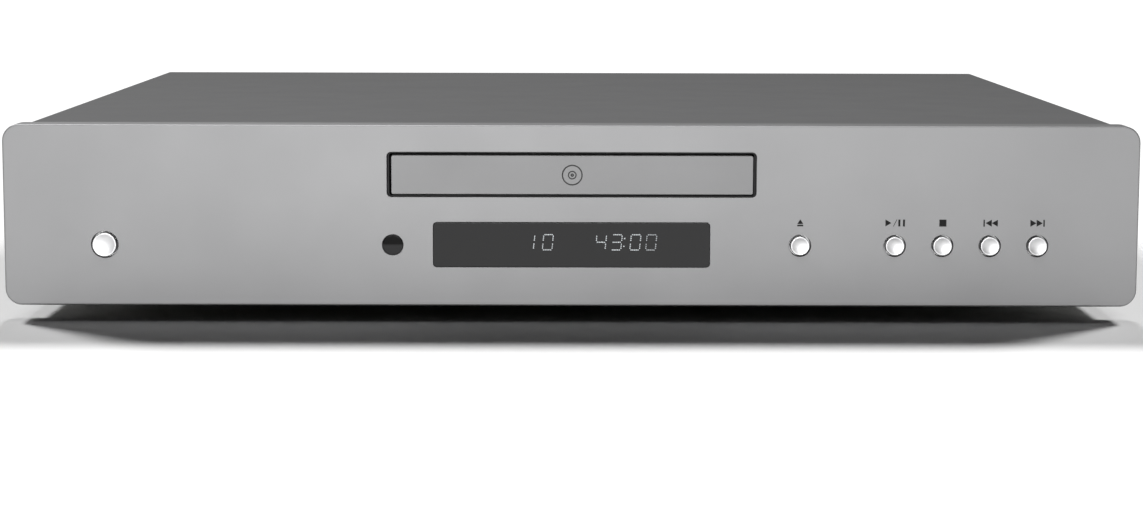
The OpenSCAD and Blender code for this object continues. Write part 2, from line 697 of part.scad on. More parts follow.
module pickup_lens() color("lightskyblue") turned(0, lens_y, [
    [0, 52.1], [3, 52.1], [3, 54.6], [2.4, 54.6], [1.9, 55.1], [1.1, 55.4], [0, 55.5]]);

module guide_rods() color("silver") {
    for (x = [-rod_x, rod_x]) rod_y(x, rod_z, rod_r, -66, 10.5);
}

module sled_gear() color("ivory") translate([sled_gear_x, sled_gear_y, 0]) difference() {
    union() {
        gear(sled_wheel_teeth, train_module, sled_wheel_phase, 45.6, 47.6);
        gear(sled_pinion_teeth, train_module, 180 + 180 / sled_pinion_teeth, 47.5, 53);
    }
    translate([0, 0, 45]) cylinder(r = axle_r + running, h = 9);
}

module sled_motor() color("silver") difference() {
    rod_z(sled_gear_x, sled_motor_y, 9.5, 32.5, deck_z0);
    rod_z(sled_gear_x, sled_motor_y, thin_shaft_r + running, 35, deck_z0 + 1);
}

module sled_pinion() color("ivory") translate([sled_gear_x, sled_motor_y, 0]) {
    gear(sled_motor_teeth, train_module,
         mesh_phase(90, sled_wheel_phase, sled_wheel_teeth, sled_motor_teeth), 45.5, 48);
    translate([0, 0, 36]) cylinder(r = thin_shaft_r, h = 10);
}

// ---- Electronics ----

module main_board() color("darkgreen") difference() {
    block([78, 10, pcb_z], [196, 138, pcb_top]);
    for (p = main_posts) rod_z(p[0], p[1], 1.6, pcb_z - 1, pcb_top + 1);
}

module power_board() color("tan") difference() {
    block([-196, 40, pcb_z], [-90, 112, pcb_top]);
    for (p = power_posts) rod_z(p[0], p[1], 1.6, pcb_z - 1, pcb_top + 1);
}

module capacitors() color("midnightblue") {
    for (i = [0:3]) rod_z(-175 + i * 20, 62, 7.8, pcb_top, pcb_top + 25);
    for (i = [0:4]) rod_z(-178 + i * 14, 84, 5, pcb_top, pcb_top + 16);
    for (i = [0:4], j = [0, 1]) rod_z(96 + i * 11, 98 + j * 12, 3.2, pcb_top, pcb_top + 11);
    for (i = [0:2]) rod_z(110 + i * 16, 30, 4, pcb_top, pcb_top + 12);
}

module chips() color([0.12, 0.12, 0.12]) {
    block([100, 50, pcb_top], [120, 70, pcb_top + 2.2]);
    block([135, 52, pcb_top], [147, 68, pcb_top + 2.2]);
    for (i = [0, 1]) block([160, 50 + i * 16, pcb_top], [169, 60 + i * 16, pcb_top + 2]);
    for (i = [0:2]) block([150 + i * 14, 92, pcb_top], [160 + i * 14, 96, pcb_top + 15]);
    block([-120, 90, pcb_top], [-100, 94, pcb_top + 18]);
    block([96, 12, pcb_top], [120, 17, pcb_top + 6]);
}

module output_sockets() color("gold") for (s = socket_spots) difference() {
    union() {
        if (s[1] < 40) {
            block([s[0] - 7, 127, pcb_top], [s[0] + 7, base_y1, s[1] + 8.9]);
        } else {
            block([s[0] - 7, 127, s[1] - 9], [s[0] + 7, base_y1, s[1] + 8]);
        }
        rod_y(s[0], s[1], socket_r + 0.25, rear_y - 2, rear_y + 0.1);
        rod_y(s[0], s[1], socket_r, rear_y, 152.5);
    }
    rod_y(s[0], s[1], 1.7, rear_y + 1.5, 154);
}

// Flat ribbons from the control board and from the disc mechanism to the main board
module ribbon_cables() color("lightgray") {
    block([92, board_y + board_t, 10.6], [112, board_y + board_t + 0.5, 30]);
    block([92, board_y + board_t, 10.4], [112, 8.5, 10.9]);
    block([92, 8, 10.4], [112, 8.5, 24]);
    block([68.1, 12, 16], [68.6, 28, 40]);
    block([68.1, 12, 39.5], [90, 28, 40]);
    block([89.5, 12, pcb_top + 0.1], [90, 28, 40]);
}

module transformer() color("goldenrod") turned(transformer_x, transformer_y, concat(
    arc([32, 19.5], 6, 270, 360), arc([32, 42.5], 6, 0, 90),
    arc([18, 42.5], 6, 90, 180), arc([18, 19.5], 6, 180, 270)));

// Rubber pad, dished plate, centre bolt and nut that hold the transformer down
module transformer_fixing() color([0.25, 0.25, 0.27]) {
    turned(transformer_x, transformer_y, [
        [3.4, floor_top], [3.4, 13.4], [34, 13.4], [34, floor_top]]);
    turned(transformer_x, transformer_y, [
        [3.4, 46], [3.4, 47.4], [8.6, 47.4], [10, 50.1], [33, 50.1], [33, 48.7], [11, 48.7], [9.6, 46]]);
    turned(transformer_x, transformer_y, [
        [0, 6.8], [5.5, 6.8], [5.5, base_z], [3, base_z], [3, 47.5], [5.5, 47.5], [5.5, 51.8],
        [3, 51.8], [3, 55], [0, 55]]);
}

module mains_inlet() color([0.08, 0.08, 0.08]) {
    difference() {
        union() {
            plate_y(inlet_x, inlet_z, 50, 23, 5, rear_y, rear_y + 2);
            plate_y(inlet_x, inlet_z, inlet_w, inlet_h, 2, 124, rear_y + eps);
        }
        plate_y(inlet_x, inlet_z, 24.4, 16.4, 2, 127, rear_y + 3);
        for (x = inlet_ears) rod_y(x, inlet_z, clear_r + 0.1, rear_y - 1, rear_y + 3);
    }
    for (p = [[-7, -2], [7, -2], [0, 2.5]]) {
        block([inlet_x + p[0] - 1, 117, inlet_z + p[1] - 2],
              [inlet_x + p[0] + 1, rear_y - 1, inlet_z + p[1] + 2]);
    }
}

module rocker_housing() color([0.08, 0.08, 0.08]) difference() {
    union() {
        plate_y(switch_x, switch_z, 15.5, 22, 1, rear_y, rear_y + 1.5);
        plate_y(switch_x, switch_z, 12.8, 19, 0.5, 128, rear_y + eps);
    }
    plate_y(switch_x, switch_z, 10.8, 16.4, 0.4, 133, rear_y + 3);
    rod_x(switch_y, switch_z, rocker_pin_r + running, switch_x - 8, switch_x + 8);
}

module rocker() color([0.12, 0.12, 0.12])
    translate([switch_x, switch_y, switch_z]) rotate([-switch_swing, 0, 0]) {
        rotate([90, 0, 90]) translate([0, 0, -5.2]) linear_extrude(10.4) polygon([
            [-2.5, -4.5], [5.4, -6.7], [4.2, 0], [5.4, 6.7], [-2.5, 4.5]]);
        rotate([0, 90, 0]) translate([0, 0, -6.2]) cylinder(r = rocker_pin_r, h = 12.4);
    }

front_panel();
tray_surround();
display_window();
ir_window();
front_subframe();
base_chassis();
rear_panel();
top_cover();
foot_front_left();
foot_front_right();
foot_rear_left();
foot_rear_right();
foot_pads();
case_screws();
chassis_screws();
control_board();
tact_switches();
ir_receiver();
display_module();
standby_button();
standby_light();
eject_button();
play_button();
stop_button();
previous_button();
next_button();
mechanism_brackets();
loader_frame();
clamp_bridge();
clamper();
disc_tray();
tray_door();
load_motor();
motor_pulley();
load_belt();
pulley_gear();
drive_gear();
cam_slider();
traverse_base();
damper_rubbers();
optical_deck();
spindle_motor();
turntable();
pickup();
pickup_lens();
guide_rods();
sled_gear();
sled_motor();
sled_pinion();
main_board();
capacitors();
chips();
output_sockets();
ribbon_cables();
transformer();
transformer_fixing();
power_board();
mains_inlet();
rocker_housing();
rocker();
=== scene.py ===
import json
import math

import bmesh
import bpy
from mathutils import Matrix, Vector, geometry


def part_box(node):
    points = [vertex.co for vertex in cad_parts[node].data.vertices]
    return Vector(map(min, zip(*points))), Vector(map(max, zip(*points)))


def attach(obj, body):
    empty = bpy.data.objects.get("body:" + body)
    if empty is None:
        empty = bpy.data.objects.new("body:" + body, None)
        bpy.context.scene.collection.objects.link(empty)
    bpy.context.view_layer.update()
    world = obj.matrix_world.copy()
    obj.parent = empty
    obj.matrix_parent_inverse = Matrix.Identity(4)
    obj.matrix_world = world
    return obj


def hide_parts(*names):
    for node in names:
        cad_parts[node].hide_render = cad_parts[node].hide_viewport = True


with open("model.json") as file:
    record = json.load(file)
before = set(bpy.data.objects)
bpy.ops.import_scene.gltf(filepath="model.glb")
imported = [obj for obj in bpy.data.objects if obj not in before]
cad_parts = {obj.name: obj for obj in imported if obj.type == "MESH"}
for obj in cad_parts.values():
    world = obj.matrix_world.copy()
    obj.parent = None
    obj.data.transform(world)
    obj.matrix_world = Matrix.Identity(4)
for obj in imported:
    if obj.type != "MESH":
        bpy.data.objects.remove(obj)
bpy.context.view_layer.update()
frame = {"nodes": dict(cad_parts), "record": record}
nodes = frame["nodes"]
scene = bpy.context.scene

# Shapes are drawn in millimetres, and Blender works in metres.
MM = 0.001

# ---- Places and sizes in millimetres, from the frame where it has them ----


def low(node):
    """Lowest corner of a CAD node."""
    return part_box(node)[0] / MM


def high(node):
    """Highest corner of a CAD node."""
    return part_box(node)[1] / MM


def middle(node):
    """Middle of a CAD node's box."""
    return (low(node) + high(node)) / 2


face_y = low("front_panel").y
rim_y = high("front_panel").y
plate_thickness = 4
face_back = face_y + plate_thickness
panel_mid = middle("front_panel")
panel_w, _, panel_h = high("front_panel") - low("front_panel")
row_z = middle("ir_window").z
slot = {"x": 0, "z": 56.18, "w": 139.8, "h": 17.15, "r": 1.7}
window = {"x": 0, "z": middle("display_window").z, "w": 105, "h": 17.3, "r": 1.5}
transport = ["eject_button", "play_button", "stop_button", "previous_button", "next_button"]
buttons = ["standby_button", *transport]
button_gap = 0.55
collar_step = 1.3
clearance = 0.1
boss_x = 196
boss_heights = (18, 63)
cover_half = high("top_cover").x
cover_top = high("top_cover").z
cover_lip_low = 66
sheet = 1.2
rear_y = high("rear_panel").y
right_socket, left_socket, digital_socket = (125, 27), (125, 45), (160, 27)
socket_spots = [right_socket, left_socket, digital_socket]
feet = [f"foot_{row}_{side}" for row in ("front", "rear") for side in ("left", "right")]

# ---- Outlines: lists of points in a plane ----


def arc(cx, cy, r, start, end, steps):
    """Points along an arc, from one angle to another, in degrees."""
    angles = [math.radians(start + (end - start) * i / steps) for i in range(steps + 1)]
    return [(cx + r * math.cos(a), cy + r * math.sin(a)) for a in angles]


def circle(cx, cy, r, steps=64):
    """Points round a circle."""
    return arc(cx, cy, r, 0, 360, steps)[:-1]


def round_rect(cx, cy, w, h, r, steps=8):
    """Outline of a rectangle with round corners."""
    x, y = w / 2 - r, h / 2 - r
    corners = [(x, y, 0), (-x, y, 90), (-x, -y, 180), (x, -y, 270)]
    return [p for u, v, start in corners for p in arc(cx + u, cy + v, r, start, start + 90, steps)]


def rect_edge(x, z, w, h, r):
    """A rectangle's outline as a function of how far it is set in."""
    return lambda inset: round_rect(x, z, w - 2 * inset, h - 2 * inset, max(r - inset, 0.05))


def circle_edge(x, z, r, steps=64):
    """A circle as a function of how far it is set in."""
    return lambda inset: circle(x, z, r - inset, steps)


def fillet(points, radius, steps=4):
    """Rounds each inner corner of an open line of points, as far as the line leaves room."""
    made = [points[0]]
    for before, corner, after in zip(points, points[1:], points[2:]):
        b, c, a = Vector(before), Vector(corner), Vector(after)
        into, out = (b - c), (a - c)
        half = into.angle(out) / 2
        room = min(into.length, out.length) * 0.45
        if half > math.radians(85) or room < 1e-4:
            made.append(corner)
            continue
        reach = min(radius / math.tan(half), room)
        start, end = c + into.normalized() * reach, c + out.normalized() * reach
        for i in range(steps + 1):
            t = i / steps
            made.append(tuple(start * (1 - t) ** 2 + c * 2 * t * (1 - t) + end * t**2))
    return made + [points[-1]]


# ---- Meshes ----

# How a drawing lies in the player: its own third axis is its depth.
FRONT = Matrix(((1, 0, 0, 0), (0, 0, 1, 0), (0, 1, 0, 0), (0, 0, 0, 1)))
PLAN = Matrix.Identity(4)


def facing(outward, across, origin):
    """A drawing whose depth grows outward from a point."""
    up = Vector(outward).cross(Vector(across))
    rows = zip(Vector(across), up, Vector(outward), Vector(origin))
    return Matrix([*rows, (0, 0, 0, 1)])


class Shell:
    """Rings of points and the faces between them, gathered into one piece."""

    def __init__(self, place=FRONT):
        self.mesh = bmesh.new()
        self.place = place

    def ring(self, points, depth):
        """A closed ring of points at one depth."""
        return [self.mesh.verts.new(self.place @ Vector((u, v, depth)) * MM) for u, v in points]

    def bridge(self, *rings):
        """Walls from each ring to the next. A ring of one point is a tip."""
        for one, two in zip(rings, rings[1:]):
            count = max(len(one), len(two))
            for i in range(count):
                j = (i + 1) % count
                corners = [one[i % len(one)], one[j % len(one)], two[j % len(two)], two[i % len(two)]]
                self.mesh.faces.new(list(dict.fromkeys(corners)))

    def cap(self, outer, holes=()):
        """A flat face inside a ring, round its holes."""
        loops = [outer, *holes]
        points = [v for loop in loops for v in loop]
        for triangle in geometry.tessellate_polygon([[v.co for v in loop] for loop in loops]):
            self.mesh.faces.new([points[i] for i in triangle])

    def wall(self, edge, front, back, front_round=0.0, back_round=0.0, steps=4):
        """The wall of an outline from one depth to another, with rounded edges. Returns its end rings."""
        rings = []
        ends = [(front, front_round, 1), (back, back_round, -1)]
        for place, (depth, radius, sign) in enumerate(ends):
            if abs(radius) < 1e-6:
                rings.append(self.ring(edge(0), depth))
                continue
            angles = [math.radians(90 * i / steps) for i in range(steps + 1)]
            for a in angles if place == 0 else reversed(angles):
                away = abs(radius) * (1 - math.cos(a))
                rings.append(self.ring(edge(radius * (1 - math.sin(a))), depth + sign * away))
        self.bridge(*rings)
        return rings[0], rings[-1]

    def plate(self, edge, front, back, holes=(), front_round=0.2, back_round=0.1, hole_round=0.15):
        """A flat plate with rounded edges and through holes."""
        tops, bottoms = [], []
        top, bottom = self.wall(edge, front, back, front_round, back_round)
        for hole in holes:
            one, two = self.wall(hole, front, back, -hole_round, -back_round)
            tops.append(one)
            bottoms.append(two)
        self.cap(top, tops)
        self.cap(bottom, bottoms)

    def turned(self, profile, centre=(0, 0), steps=64, closed=False):
        """A turned shape from points of radius and depth; closed joins its last point to its first."""
        rings = []
        for r, depth in profile:
            rings.append(self.ring(circle(*centre, r, steps) if r > 1e-4 else [centre], depth))
        self.bridge(*rings, *(rings[:1] if closed else []))
        return rings

    def box(self, corner, opposite, radius=0.15):
        """A block between two corners with rounded front and back edges."""
        (u0, v0, d0), (u1, v1, d1) = corner, opposite
        edge = rect_edge((u0 + u1) / 2, (v0 + v1) / 2, abs(u1 - u0), abs(v1 - v0), radius * 1.5)
        self.plate(edge, min(d0, d1), max(d0, d1), front_round=radius, back_round=radius)

    def piece(self, name, body, finish, slot_name, replaces=(), crease=35):
        """Makes the piece, gives it its finish and lets it ride on its body."""
        bmesh.ops.remove_doubles(self.mesh, verts=self.mesh.verts, dist=1e-7)
        bmesh.ops.recalc_face_normals(self.mesh, faces=self.mesh.faces)
        data = bpy.data.meshes.new(name)
        self.mesh.to_mesh(data)
        self.mesh.free()
        data.shade_smooth()
        data.set_sharp_from_angle(angle=math.radians(crease))
        data.materials.append(finish)
        piece = bpy.data.objects.new(name, data)
        scene.collection.objects.link(piece)
        weigh = piece.modifiers.new("flat_faces_stay_flat", "WEIGHTED_NORMAL")
        weigh.keep_sharp = True
        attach(piece, body)
        if replaces:
            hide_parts(*replaces)
        return piece


# ---- Finishes ----


class Finish:
    """A procedural material: a Principled surface with helpers for its patterns."""

    def __init__(self, name, colour, roughness, metallic=0.0, **constants):
        self.material = bpy.data.materials.new(name)
        self.material.use_nodes = True
        self.tree = self.material.node_tree
        self.surface = self.tree.nodes["Principled BSDF"]
        self.colour = colour
        self.roughness = roughness
        self.set("Base Color", (*colour, 1))
        self.set("Roughness", roughness)
        self.set("Metallic", metallic)
        for key, value in constants.items():
            self.set(key.replace("_", " ").title().replace("Ior", "IOR"), value)

    def set(self, socket, value):
        """Sets one of the surface's own values."""
        self.surface.inputs[socket].default_value = value

    def node(self, kind, **inputs):
        """A new node with some of its inputs set."""
        made = self.tree.nodes.new(kind)
        for socket, value in inputs.items():
            made.inputs[socket.replace("_", " ")].default_value = value
        return made

    def link(self, source, target):
        """Joins two sockets."""
        self.tree.links.new(source, target)

    def coordinates(self, stretch=(1, 1, 1)):
        """The piece's own coordinates in metres, stretched along its axes."""
        source = self.node("ShaderNodeTexCoord")
        mapping = self.node("ShaderNodeMapping", Scale=stretch)
        self.link(source.outputs["Object"], mapping.inputs["Vector"])
        return mapping.outputs["Vector"]

    def noise(self, scale, detail=3.0, stretch=(1, 1, 1)):
        """Noise with so many features to the metre."""
        texture = self.node("ShaderNodeTexNoise", Scale=scale, Detail=detail)
        self.link(self.coordinates(stretch), texture.inputs["Vector"])
        return texture.outputs["Fac"]

    def waves(self, scale, direction):
        """Even stripes: the texture makes about 3.2 of them to the metre for each unit of scale."""
        texture = self.node("ShaderNodeTexWave", Scale=scale)
        texture.bands_direction = direction
        self.link(self.coordinates(), texture.inputs["Vector"])
        return texture.outputs["Fac"]

    def ramp(self, factor, dark, light, start=0.3, end=0.7):
        """Turns a pattern into colours between two."""
        ramp = self.node("ShaderNodeValToRGB")
        stops = ramp.color_ramp.elements
        stops[0].position, stops[1].position = start, end
        stops[0].color, stops[1].color = (*dark, 1), (*light, 1)
        self.link(factor, ramp.inputs["Fac"])
        return ramp.outputs["Color"]

    def mottle(self, scale=30, amount=0.06, detail=3.0, stretch=(1, 1, 1)):
        """Slow variation of the colour, as on any real surface."""
        dark = [c * (1 - amount) for c in self.colour]
        light = [min(1.0, c * (1 + amount)) for c in self.colour]
        pattern = self.ramp(self.noise(scale, detail, stretch), dark, light)
        self.link(pattern, self.surface.inputs["Base Color"])
        return self

    def wear(self, scale=60, spread=0.05, stretch=(1, 1, 1)):
        """Variation of the gloss."""
        span = self.node("ShaderNodeMapRange")
        span.inputs["From Min"].default_value = 0.3
        span.inputs["From Max"].default_value = 0.7
        span.inputs["To Min"].default_value = max(0.02, self.roughness - spread)
        span.inputs["To Max"].default_value = min(1.0, self.roughness + spread)
        self.link(self.noise(scale, 4.0, stretch), span.inputs["Value"])
        self.link(span.outputs["Result"], self.surface.inputs["Roughness"])
        return self

    def grain(self, scale=3000, depth=0.01, strength=0.4, stretch=(1, 1, 1), pattern=None):
        """Fine relief, with its depth in millimetres."""
        bump = self.node("ShaderNodeBump", Strength=strength, Distance=depth * MM)
        height = pattern if pattern is not None else self.noise(scale, 2.0, stretch)
        self.link(height, bump.inputs["Height"])
        self.link(bump.outputs["Normal"], self.surface.inputs["Normal"])
        return self


def anodised(name, colour, roughness):
    """Bead-blasted and anodised aluminium."""
    made = Finish(name, colour, roughness, metallic=1.0)
    return made.mottle(12, 0.012).wear(25, 0.015).grain(3500, 0.003, 0.2).material


def plastic(name, colour, roughness=0.5, grain=0.02, amount=0.08, **constants):
    """Moulded plastic with a fine texture."""
    made = Finish(name, colour, roughness, **constants)
    return made.mottle(90, amount).wear(120, 0.06).grain(1800, grain, 0.4).material


def plated(name, colour, roughness=0.3, stretch=(1, 1, 1), amount=0.12):
    """Plated or bare metal with a drawn or crystalline look."""
    made = Finish(name, colour, roughness, metallic=1.0)
    made.mottle(140, amount, 4.0, stretch).wear(200, 0.08, stretch)
    return made.grain(900, 0.004, 0.3, stretch).material


def gloss(name, colour, roughness=0.06, **constants):
    """Polished plastic with the faint dust and smears of use."""
    made = Finish(name, colour, roughness, **constants)
    return made.mottle(50, 0.08).wear(35, 0.03).grain(120, 0.002, 0.1).material


def powder_coat(name, colour, roughness):
    """Satin powder coat with its orange-peel surface."""
    made = Finish(name, colour, roughness)
    return made.mottle(15, 0.02).wear(40, 0.02).grain(1300, 0.02, 0.3).material


def turned_metal(name, colour, roughness):
    """Polished metal with fine marks."""
    made = Finish(name, colour, roughness, metallic=1.0)
    return made.mottle(300, 0.02).wear(500, 0.03).grain(6000, 0.001, 0.2).material


def circuit_board(name, mask, track):
    """Solder mask over a pattern of tracks."""
    made = Finish(name, mask, 0.35)
    cells = made.node("ShaderNodeTexBrick", Scale=260.0, Mortar_Size=0.012)
    cells.inputs["Color1"].default_value = (*mask, 1)
    cells.inputs["Color2"].default_value = (*[c * 0.8 for c in mask], 1)
    cells.inputs["Mortar"].default_value = (*track, 1)
    made.link(made.coordinates(), cells.inputs["Vector"])
    made.link(cells.outputs["Color"], made.surface.inputs["Base Color"])
    made.grain(pattern=cells.outputs["Fac"], depth=0.03, strength=0.5)
    return made.wear(90, 0.05).material


def striped(name, dark, light, scale, direction, roughness):
    """Even stripes: a ribbon's wires or a winding."""
    made = Finish(name, light, roughness)
    bands = made.waves(scale, direction)
    made.link(made.ramp(bands, dark, light, 0.1, 0.5), made.surface.inputs["Base Color"])
    return made.wear(80, 0.05).grain(pattern=bands, depth=0.1, strength=0.4).material


def printed(name, colour):
    """Screen-printed ink."""
    made = Finish(name, colour, 0.7, specular_ior_level=0.2)
    return made.mottle(600, 0.15).wear(900, 0.08).grain(5000, 0.003, 0.3).material


def lit_dots(name, colour, glow):
    """The dots of a display, which glow a little."""
    made = Finish(name, colour, 0.6, emission_strength=glow)
    made.set("Emission Color", (*colour, 1))
    return made.mottle(900, 0.15).material


FINISH = {
    "brushed_panel": anodised("anodised_front", (0.34, 0.34, 0.344), 0.6),
    "door_metal": anodised("anodised_door", (0.295, 0.295, 0.298), 0.62),
    "button_metal": turned_metal("polished_button", (0.66, 0.66, 0.665), 0.4),
    "cover_paint": powder_coat("powder_coat", (0.1, 0.1, 0.102), 0.42),
    "black_plastic": plastic("black_plastic", (0.014, 0.014, 0.015), specular_ior_level=0.25),
    "tray_plastic": plastic("tray_plastic", (0.02, 0.02, 0.021), 0.42),
    "foot_plastic": plastic("foot_plastic", (0.018, 0.018, 0.018), 0.45),
    "white_plastic": plastic("acetal", (0.72, 0.7, 0.64), 0.38, 0.01, 0.03),
    "smoked_window": gloss("smoked_window", (0.006, 0.006, 0.0065), 0.05),
    "black_gloss": gloss("black_gloss", (0.006, 0.006, 0.0065), 0.08),
    "display": plastic("display_glass", (0.02, 0.022, 0.024), 0.2, 0.005),
    "light_guide": gloss("light_guide", (0.85, 0.87, 0.9), 0.2, emission_strength=0.1),
    "rubber": plastic("rubber", (0.016, 0.016, 0.016), 0.8, 0.04),
    "plated_steel": plated("zinc_plate", (0.52, 0.52, 0.5), 0.34),
    "bright_steel": turned_metal("ground_steel", (0.62, 0.62, 0.62), 0.14),
    "motor_can": plated("nickel_can", (0.5, 0.49, 0.47), 0.28, (1, 1, 0.2)),
    "deck_metal": plated("cast_deck", (0.3, 0.3, 0.3), 0.5, amount=0.2),
    "black_screw": plated("black_oxide", (0.045, 0.045, 0.046), 0.36),
    "board": circuit_board("green_board", (0.014, 0.1, 0.035), (0.05, 0.2, 0.08)),
    "capacitor_sleeve": gloss("capacitor_sleeve", (0.015, 0.02, 0.07), 0.25),
    "gold_plate": plated("gold_plate", (0.8, 0.58, 0.24), 0.2),
    "ribbon": striped("ribbon", (0.28, 0.28, 0.26), (0.62, 0.61, 0.57), 160, "X", 0.4),
    "transformer_tape": striped("winding_tape", (0.42, 0.25, 0.04), (0.62, 0.42, 0.1), 60, "Z", 0.35),
    "lens_glass": gloss("lens_glass", (0.12, 0.16, 0.3), 0.03, coat_weight=1.0),
}
board_brown = circuit_board("brown_board", (0.24, 0.15, 0.06), (0.4, 0.3, 0.12))
ink = printed("dark_ink", (0.012, 0.012, 0.012))
door_ink = printed("grey_ink", (0.05, 0.05, 0.05))
dots = lit_dots("display_dots", (0.6, 0.63, 0.65), 0.12)
faint_dots = lit_dots("faint_display_dots", (0.42, 0.44, 0.46), 0.07)


def dress_frame():
    """Gives each CAD node the finish of its material slot, and softens moulded and folded edges."""
    for row in frame["record"]["subparts"]:
        node = nodes[row["node"]]
        finish = board_brown if row["node"] == "power_board" else FINISH[row["material_slot"]]
        for part in node.material_slots:
            part.link = "OBJECT"
            part.material = finish
    softened = [
        "tray_surround", "mains_inlet", "rocker_housing", "rocker", "disc_tray", "base_chassis",
        "clamp_bridge", "loader_frame", "mechanism_brackets", "front_subframe", "cam_slider",
    ]
    for name in softened:
        weld = nodes[name].modifiers.new("weld", "WELD")
        weld.merge_threshold = 1e-6
        bevel = nodes[name].modifiers.new("edges", "BEVEL")
        bevel.width = 0.12 * MM
        bevel.segments = 2
        bevel.limit_method = "ANGLE"
        bevel.angle_limit = math.radians(40)
        bevel.use_clamp_overlap = False
        nodes[name].modifiers.new("shading", "WEIGHTED_NORMAL")


# ---- Front ----


def make_front_plate():
    """The milled front: a thick plate with a rim, a pocket behind it and screw bosses in the pocket."""
    shell = Shell()
    corner, side_rim, end_rim = 6.3, 12, 4
    outline = rect_edge(0, panel_mid.z, panel_w, panel_h, corner)
    pocket = rect_edge(0, panel_mid.z, panel_w - 2 * side_rim, panel_h - 2 * end_rim, 2)
    holes = [rect_edge(*slot.values()), rect_edge(*window.values())]
    ir, ir_hole = middle("ir_window"), 4.0
    holes.append(circle_edge(ir.x, ir.z, ir_hole))
    for name in buttons:
        spot = middle(name)
        holes.append(circle_edge(spot.x, spot.z, cap_radius(name) + button_gap, 96))
    front, back = shell.wall(outline, face_y, rim_y, 0.7, 0.3, steps=6)
    rim, floor = shell.wall(pocket, rim_y, face_back, -0.2, 0)
    walls = [shell.wall(hole, face_y, face_back, -0.2, -0.1) for hole in holes]
    boss_rings = []
    boss_top = low("front_subframe").y - clearance
    boss, thread, bite = 3.5, 1.3, 1.5
    for x in (-boss_x, boss_x):
        for z in boss_heights:
            foot, top = shell.wall(circle_edge(x, z, boss, 32), face_back, boss_top, 0, 0.2)
            mouth, end = shell.wall(circle_edge(x, z, thread, 32), boss_top, face_back - bite, -0.2, 0)
            shell.cap(top, [mouth])
            shell.cap(end)
            boss_rings.append(foot)
    shell.cap(front, [w[0] for w in walls])
    shell.cap(back, [rim])
    shell.cap(floor, [w[1] for w in walls] + boss_rings)
    shell.piece("front_plate", "root", FINISH["brushed_panel"], "brushed_panel", ["front_panel"], 50)


def cap_radius(name):
    """Radius of a button's cap: its collar is one step wider."""
    return (high(name).x - low(name).x) / 2 - collar_step


def make_button(name):
    """A turned button: dished face, rounded rim, collar behind the panel and stem."""
    spot, start, end = middle(name), low(name).y, high(name).y
    radius = cap_radius(name)
    dish, rim, edge = 0.4, 0.5, 0.28
    land = radius - rim
    ball = (land**2 + dish**2) / (2 * dish)
    profile = []
    dish_steps = 14
    for i in range(dish_steps + 1):
        r = land * i / dish_steps
        profile.append((r, start + dish - ball + math.sqrt(ball**2 - r**2)))
    profile += [(radius - edge + px, start + edge - py) for px, py in reversed(arc(0, 0, edge, 0, 90, 6))]
    collar, collar_end = face_back + clearance, face_back + clearance + 1
    stem = 1.5
    tail = [(radius, collar), (radius + collar_step, collar), (radius + collar_step, collar_end),
            (stem, collar_end), (stem, end - 0.2), (stem - 0.2, end), (0, end)]
    shell = Shell()
    shell.turned(profile + tail, (spot.x, spot.z), 96)
    body = name.replace("_button", "")
    shell.piece(name + "_cap", body, FINISH["button_metal"], "button_metal", [name], 40)


def make_standby_light():
    """The small light guide in the middle of the standby button."""
    spot = middle("standby_light")
    size = high("standby_light") - low("standby_light")
    shell = Shell()
    edge = rect_edge(spot.x, spot.z, size.x, size.z, 0.28)
    shell.plate(edge, low("standby_light").y, high("standby_light").y, front_round=0.12)
    shell.piece("standby_light_guide", "standby", FINISH["light_guide"], "light_guide", ["standby_light"])


def make_door():
    """The metal front of the disc tray, hollow behind."""
    spot = middle("tray_door")
    size = high("tray_door") - low("tray_door")
    start, end = low("tray_door").y, high("tray_door").y
    shell = Shell()
    front, back = shell.wall(rect_edge(spot.x, spot.z, size.x, size.z, 0.8), start, end, 0.3, 0.2, 6)
    hollow_w, hollow_h, skin = 125, 9, 3
    hollow = rect_edge(spot.x, spot.z, hollow_w, hollow_h, 0.8)
    rim, floor = shell.wall(hollow, end, start + skin, -0.2, 0)
    shell.cap(front)
    shell.cap(back, [rim])
    shell.cap(floor)
    shell.piece("door_plate", "tray", FINISH["door_metal"], "door_metal", ["tray_door"], 50)


def make_windows():
    """The display window and the round remote-control window, each with a flange behind the panel."""
    shell = Shell()
    flange = face_back + clearance
    edge = rect_edge(0, window["z"], window["w"] - 0.2, window["h"] - 0.2, window["r"] - 0.1)
    wide = rect_edge(0, window["z"], window["w"] + 4, window["h"] + 4, 1.5)
    front, back = shell.wall(edge, low("display_window").y, flange, 0.15, 0)
    step, rear = shell.wall(wide, flange, high("display_window").y, 0.1, 0.1)
    shell.cap(front)
    shell.cap(step, [back])
    shell.cap(rear)
    shell.piece("window_glass", "root", FINISH["smoked_window"], "smoked_window", ["display_window"])

    spot = middle("ir_window")
    start, end = low("ir_window").y, high("ir_window").y
    radius = high("ir_window").x - spot.x
    face = radius - 1.2
    profile = [(0, start), (face - 0.3, start), (face - 0.1, start + 0.05), (face, start + 0.15),
               (face, flange), (radius, flange), (radius, end), (0, end)]
    shell = Shell()
    shell.turned(profile, (spot.x, spot.z), 72)
    shell.piece("ir_glass", "root", ir_finish_painted_reflection(spot.z * MM), "black_gloss", ["ir_window"])


